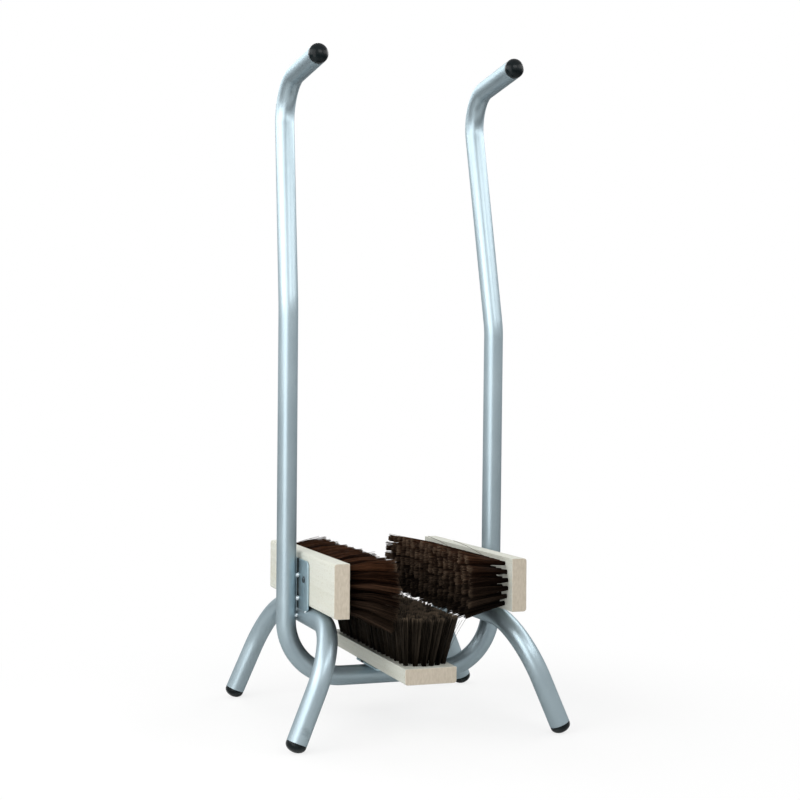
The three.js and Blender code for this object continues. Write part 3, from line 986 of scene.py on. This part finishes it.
# Each lock of a tuft leans, has worn down and has darkened its own way. It goes
# by a number that it shares with its own hairs alone.
most_locks = 16.0
tuft = recalled("tuft")
lock_number = figure("FLOOR", chance(1, 0.0, given["Locks in a tuft"]))
lock = times(tuft, most_locks, lock_number)
apart = figure("DIVIDE", 2 * math.pi, given["Locks in a tuft"])
lock_bearing = times(lock_number, apart, chance(2, -3.0, 3.0, tuft))
lock_x, lock_y = figure("COSINE", lock_bearing), figure("SINE", lock_bearing)
bearing = chance(3, 0.0, 2 * math.pi)
hair_x, hair_y = figure("COSINE", bearing), figure("SINE", bearing)
out = figure("SQRT", chance(4, 0.0, 1.0))
# As shares of the hole's radius: a lock from the middle, a hair from its lock.
lock_at_root, hair_at_root = 0.45, 0.5
root_out = figure("MULTIPLY", out, hair_at_root)
root_x = times(hair_x, root_out, figure("MULTIPLY", lock_x, lock_at_root))
root_y = times(hair_y, root_out, figure("MULTIPLY", lock_y, lock_at_root))
root_x = times(root_x, given["Hole radius"], times(across, given["Half width"]))
root_y = times(root_y, given["Hole radius"], root_run)
# The same as shares of the tips' radius. Each lock strays a little, and one hair
# in ten or so has worked loose and stands out from it.
lock_at_tip, hair_at_tip, loose_at_tip = 0.5, 0.48, 0.3
stray_x, stray_y = 0.38, 0.3
loose = figure("POWER", chance(5, 0.0, 1.0), 8.0)
tip_out = times(out, hair_at_tip, figure("MULTIPLY", loose, loose_at_tip))
lock_tip_x = times(lock_x, lock_at_tip, chance(6, -stray_x, stray_x, lock))
lock_tip_y = times(lock_y, lock_at_tip, chance(7, -stray_y, stray_y, lock))
tip_x = times(hair_x, tip_out, lock_tip_x)
tip_y = times(hair_y, tip_out, lock_tip_y)
tip_x = times(tip_x, given["Tip radius"], times(across, given["Tip half width"]))
tip_radius_y = figure("MULTIPLY", given["Tip radius"], given["Tip drawn out"])
tip_y = times(tip_y, tip_radius_y, tip_run)
# As shares of the fraying: what a whole lock has lost, and each hair besides.
lock_lost = chance(8, 0.0, 0.7, lock)
worn_off = figure("ADD", lock_lost, figure("POWER", chance(9, 0.0, 1.0), 2.0))
# Bending doesn't change a hair's length, so what leans far comes less far up.
sideways = figure("ADD", figure("SUBTRACT", tip_x, root_x), given["Droop"])
shorter = times(times(sideways, sideways), given["Bent by use"])
fanned = figure("SUBTRACT", times(given["Length"], given["Length"]), shorter)
tip_z = figure("SUBTRACT", figure("SQRT", fanned), times(worn_off, given["Fraying"]))
told = kept(hairs, "root", point(root_x, root_y), "FLOAT_VECTOR")
told = kept(told, "tip", point(tip_x, tip_y, tip_z), "FLOAT_VECTOR")
bow_x = times(chance(10, -0.5, 0.5), given["Fraying"])
bow_y = times(chance(11, -0.5, 0.5), given["Fraying"])
told = kept(told, "bow", point(bow_x, bow_y), "FLOAT_VECTOR")
# A hair's tone adds up from its tuft's, its lock's and its own. Few locks and
# few hairs are far up, so most of them are dark.
tuft_tone, lock_share, own_share = 0.18, 0.6, 0.55
own_tone = figure("POWER", chance(12, 0.0, 1.0), 2.0)
own_tone = times(own_tone, own_share, chance(13, -tuft_tone, tuft_tone, tuft))
lock_tone = figure("POWER", chance(14, 0.0, 1.0, lock), 2.0)
tone = times(times(lock_tone, lock_share, own_tone), given["Tone"])
told = kept(told, "hair_tone", tone)
# The upper rows of a side brush are drawn redder, as painted top light, and their tips paler, as
# wear and painted top light.
least_top_light, least_wear, most_wear = 0.15, 0.2, 1.5
height = times(times(across, given["Upper side"]), 0.5, 0.5)
light_share = times(times(height, height), 1 - least_top_light, least_top_light)
told = kept(told, "hair_fade", times(light_share, given["Fading"]))
tip_wear_and_top_light = times(height, most_wear - least_wear, least_wear)
told = kept(told, "hair_wear", times(tone, times(tip_wear_and_top_light, given["Wear"])))

# The pattern hair is a three-sided rod, one unit long, that knows how far
# along itself each of its points lies.
rod = add(
    hair_tree,
    "GeometryNodeMeshCylinder",
    {"Vertices": 3, "Side Segments": 2, "Radius": 1.0, "Depth": 1.0},
    fill_type="NGON",
).outputs["Mesh"]
rod_x, rod_y, rod_z = parts(add(hair_tree, "GeometryNodeInputPosition").outputs[0])
rod = kept(rod, "side", point(rod_x, rod_y), "FLOAT_VECTOR")
rod = kept(rod, "hair_reach", figure("ADD", rod_z, 0.5))
planted = add(hair_tree, "GeometryNodeInstanceOnPoints", {"Points": told, "Instance": rod})
real = add(hair_tree, "GeometryNodeRealizeInstances", {"Geometry": planted.outputs[0]})

# Each hair leaves its hole straight, then leans, bows and droops to its tip,
# where it is a quarter thinner.
taper, lean_power = 0.25, 1.12
far = recalled("hair_reach")
root_x, root_y, _ = parts(recalled("root", "FLOAT_VECTOR"))
end_x, end_y, end_z = parts(recalled("tip", "FLOAT_VECTOR"))
bow_x, bow_y, _ = parts(recalled("bow", "FLOAT_VECTOR"))
side_x, side_y, _ = parts(recalled("side", "FLOAT_VECTOR"))
hump = times(times(far, figure("SUBTRACT", 1.0, far)), 4.0)
lean = figure("POWER", far, lean_power)
thick = times(given["Hair radius"], times(far, -taper, 1.0))
fall = times(times(far, far), given["Droop"])
place_x = times(lean, figure("SUBTRACT", end_x, root_x), figure("ADD", root_x, fall))
place_y = times(lean, figure("SUBTRACT", end_y, root_y), root_y)
place_x = times(side_x, thick, times(hump, bow_x, place_x))
place_y = times(side_y, thick, times(hump, bow_y, place_y))
place_z = times(far, end_z, given["Start"])
laid = add(
    hair_tree,
    "GeometryNodeSetPosition",
    {"Geometry": real.outputs[0], "Position": point(place_x, place_y, place_z)},
).outputs[0]
for name in ("root", "tip", "bow", "side", "tuft"):
    laid = add(
        hair_tree, "GeometryNodeRemoveAttribute", {"Geometry": laid, "Name": name}
    ).outputs[0]
smooth = add(hair_tree, "GeometryNodeSetShadeSmooth", {"Geometry": laid})
fibred = add(
    hair_tree,
    "GeometryNodeSetMaterial",
    {"Geometry": smooth.outputs[0], "Material": given["Fibre"]},
)
hair_tree.links.new(fibred.outputs[0], tree_end.inputs[0])

# Boots have bent the left brush down and combed the right one back. The hairs
# are drawn thicker than real ones, so that fewer fill a tuft. Sizes are in mm,
# and the own ones are for the left, right and bottom brush in turn. Droop is
# along X, which points down on the left brush and up on the right one.
all_brushes = {"Rows": 6, "Tufts in a row": 17, "Hairs in a tuft": 130, "Locks in a tuft": 5}
all_sizes = {
    "Half length": 157,
    "End arc": 11,
    "Start": block_thickness - 1,
    "Hair radius": 0.4,
    "Fraying": 2.4,
}
own_sizes = {
    "Length": (67.8, 64.3, 68.3),
    "Half width": (27.3, 27.3, 26.3),
    "Tip half width": (40, 37.2, 35.2),
    "Hole radius": (3, 3, 3.5),
    "Tip radius": (7.8, 7, 6.1),
    "Tip spread": (26.5, 20.5, 26.5),
    "Combed": (0, 6.5, 0),
    "Droop": (9.8, -1.4, 0),
}
own_shares = {
    "Tip drawn out": (1.05, 0.75, 1.17),
    "Bent by use": (1, 0, 0),
    # The tones differ partly as painted light: the bottom brush, which lies in shade, is drawn
    # lighter, and the right one, which faces the lamps, darker.
    "Tone": (0.98, 0.56, 2.6),
    "Fading": (1.1, 0.75, 0),
    "Wear": (0.8, 1.05, 0.35),
}
for which, (name, brush_place) in enumerate(brushes.items()):
    values = {"Upper side": upwards[name], "Seed": 100 * which, "Fibre": bristle}
    values.update(all_brushes)
    values.update((label, size * mm) for label, size in all_sizes.items())
    values.update((label, sizes[which] * mm) for label, sizes in own_sizes.items())
    values.update((label, shares[which]) for label, shares in own_shares.items())
    bristles = grown(name + "_tufts", hair_tree, bpy.data.meshes.new(name), values)
    bristles.data.transform(brush_place)
    finished(bristles, "bristle_brown", name + "_bristles")


# Sprung hairs: a few that have worked loose and stand out of the brushes alone,
# each from its hole over a bend to its tip.
loose_hairs = bpy.data.curves.new("loose hairs", "CURVE")
loose_hairs.dimensions = "3D"
loose_hairs.bevel_depth = 0.24 * mm
loose_hairs.bevel_resolution = 0
loose_hairs.use_fill_caps = True
# A share of that thickness, then the hole, the bend and the tip in mm.
for thickness, *path in (
    (1.2, (115.5, -76, 232), (107, -42, 245), (91, -11, 251)),
    (1.2, (115.5, 63, 232), (108, 80, 242), (94, 102, 247)),
    (1, (-115.5, 150, 231), (-95, 158, 240), (-62, 168, 245)),
    (1, (-115.5, 120, 231), (-90, 140, 240), (-55, 165, 241)),
    (0.9, (18.7, -161, 101), (26, -166, 128), (46, -174, 163)),
    (0.9, (18.7, -161, 101), (23, -166, 130), (41, -173, 161)),
    (0.9, (18.7, -150, 101), (25, -158, 128), (38, -170, 160)),
    (0.8, (-115.5, -150, 177), (-90, -168, 168), (-63, -180, 152)),
):
    spline = loose_hairs.splines.new("NURBS")
    spline.points.add(2)
    spline.order_u = 3
    spline.use_endpoint_u = True
    for knot, (x, y, z) in zip(spline.points, path):
        knot.co = (x * mm, y * mm, z * mm, 1)
        knot.radius = thickness
sprung = plain_mesh("sprung_hairs", linked("sprung_hairs_paths", loose_hairs))
for name, value in (("hair_tone", 0.9), ("hair_reach", 0.9), ("hair_fade", 0.2)):
    values = [value] * len(sprung.data.vertices)
    sprung.data.attributes.new(name, "FLOAT", "POINT").data.foreach_set("value", values)
sprung.data.materials.clear()
sprung.data.materials.append(bristle)
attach(sprung, "root")


# The studio: a pale floor that keeps a soft shadow, and seven soft boxes round
# the object, the brightest two at the front left. The surround is white to the
# camera and in reflections, as the photograph's is, and dim for other light.
def seen_directly(tree):
    """1 for camera, glossy and transmission rays, 0 for others."""
    path = add(tree, "ShaderNodeLightPath").outputs
    either = add(
        tree,
        "ShaderNodeMath",
        {0: path["Is Camera Ray"], 1: path["Is Glossy Ray"]},
        operation="MAXIMUM",
    )
    return add(
        tree,
        "ShaderNodeMath",
        {0: either.outputs[0], 1: path["Is Transmission Ray"]},
        operation="MAXIMUM",
    ).outputs[0]


world = bpy.data.worlds.new("studio")
bpy.context.scene.world = world
world.use_nodes = True
tree = world.node_tree
tree.nodes.clear()
dim = add(tree, "ShaderNodeBackground", {"Color": linear("#F4F8FA"), "Strength": 0.1})
white = add(tree, "ShaderNodeBackground", {"Color": linear("#FFFFFF"), "Strength": 1.0})
mixed = add(
    tree, "ShaderNodeMixShader", {0: seen_directly(tree), 1: dim.outputs[0], 2: white.outputs[0]}
)
add(tree, "ShaderNodeOutputWorld", {"Surface": mixed.outputs[0]})

pale_floor = bpy.data.materials.new("pale studio floor")
pale_floor.use_nodes = True
tree = pale_floor.node_tree
tree.nodes.clear()
matt = add(tree, "ShaderNodeBsdfDiffuse", {"Color": linear("#F2F2F1")})
glow = add(tree, "ShaderNodeEmission", {"Color": linear("#FFFFFF"), "Strength": 1.0})
# To the camera alone the floor glows white, a little less where the shadow lies.
spot = add(tree, "ShaderNodeTexCoord").outputs["Object"]
from_middle = add(tree, "ShaderNodeVectorMath", {0: spot}, operation="LENGTH")
light_share = add(
    tree,
    "ShaderNodeMapRange",
    {"Value": from_middle.outputs["Value"], "From Min": 0.3, "From Max": 0.75, "To Min": 0.78},
    interpolation_type="SMOOTHSTEP",
)
seen = add(tree, "ShaderNodeLightPath").outputs["Is Camera Ray"]
seen_glow = add(tree, "ShaderNodeMath", {0: seen, 1: light_share.outputs[0]}, operation="MULTIPLY")
mixed = add(
    tree, "ShaderNodeMixShader", {0: seen_glow.outputs[0], 1: matt.outputs[0], 2: glow.outputs[0]}
)
add(tree, "ShaderNodeOutputMaterial", {"Surface": mixed.outputs[0]})
floor_mesh = bpy.data.meshes.new("floor")
reach = 8
floor_corners = [(-reach, -reach, 0), (reach, -reach, 0), (reach, reach, 0), (-reach, reach, 0)]
floor_mesh.from_pydata(floor_corners, [], [(0, 1, 2, 3)])
floor_mesh.materials.append(pale_floor)
floor = linked("floor", floor_mesh)

# Each is an even rectangle of light. In degrees: its bearing, to the right from
# straight in front. In metres: its distance, its height, the height that it is
# aimed at, its width and its own height. In watts: its power.
for name, bearing, distance, height, aimed_at, wide, tall, power in (
    ("left soft box", -78, 1.45, 1.2, 0.65, 0.9, 1.1, 13.7),
    ("tall soft box", -45, 1.45, 0.85, 0.6, 0.9, 1.65, 14.4),
    ("front soft box", 10, 1.5, 1.45, 0.7, 0.8, 0.55, 7.4),
    ("right soft box", 62, 1.35, 1.4, 0.7, 1.4, 0.6, 8.5),
    ("right rear soft box", 115, 1.35, 1.45, 0.8, 1.1, 0.6, 9),
    ("left rear soft box", -122, 1.45, 1.35, 0.8, 1.2, 0.6, 8.5),
    ("rear soft box", -172, 1.6, 1.65, 0.8, 1.3, 0.8, 10),
):
    lamp = bpy.data.lights.new(name, "AREA")
    lamp.shape = "RECTANGLE"
    lamp.size, lamp.size_y = wide, tall
    lamp.energy = power
    box = linked(name, lamp)
    turn = math.radians(bearing)
    box.location = (distance * math.sin(turn), -distance * math.cos(turn), height)
    aim = box.location - Vector((0, 0, aimed_at))
    box.rotation_euler = aim.to_track_quat("Z", "Y").to_euler()
    box.visible_camera = False

# The camera stands where the photograph was taken from, as fitted to it: turned
# about its own place by pan, tilt and a trace of roll.
camera = bpy.data.cameras.new("camera")
camera.lens = 62.66
camera.sensor_width = 36
camera.clip_end = 30
viewer = linked("camera", camera)
pan, tilt, roll = math.radians(-19.258), math.radians(90.276), math.radians(0.428)
viewer.matrix_world = (
    Matrix.Translation((-0.65624, -1.9085, 0.44641))
    @ Matrix.Rotation(pan, 4, "Z")
    @ Matrix.Rotation(tilt, 4, "X")
    @ Matrix.Rotation(roll, 4, "Z")
)
bpy.context.scene.camera = viewer
bpy.context.scene.view_settings.view_transform = "Standard"
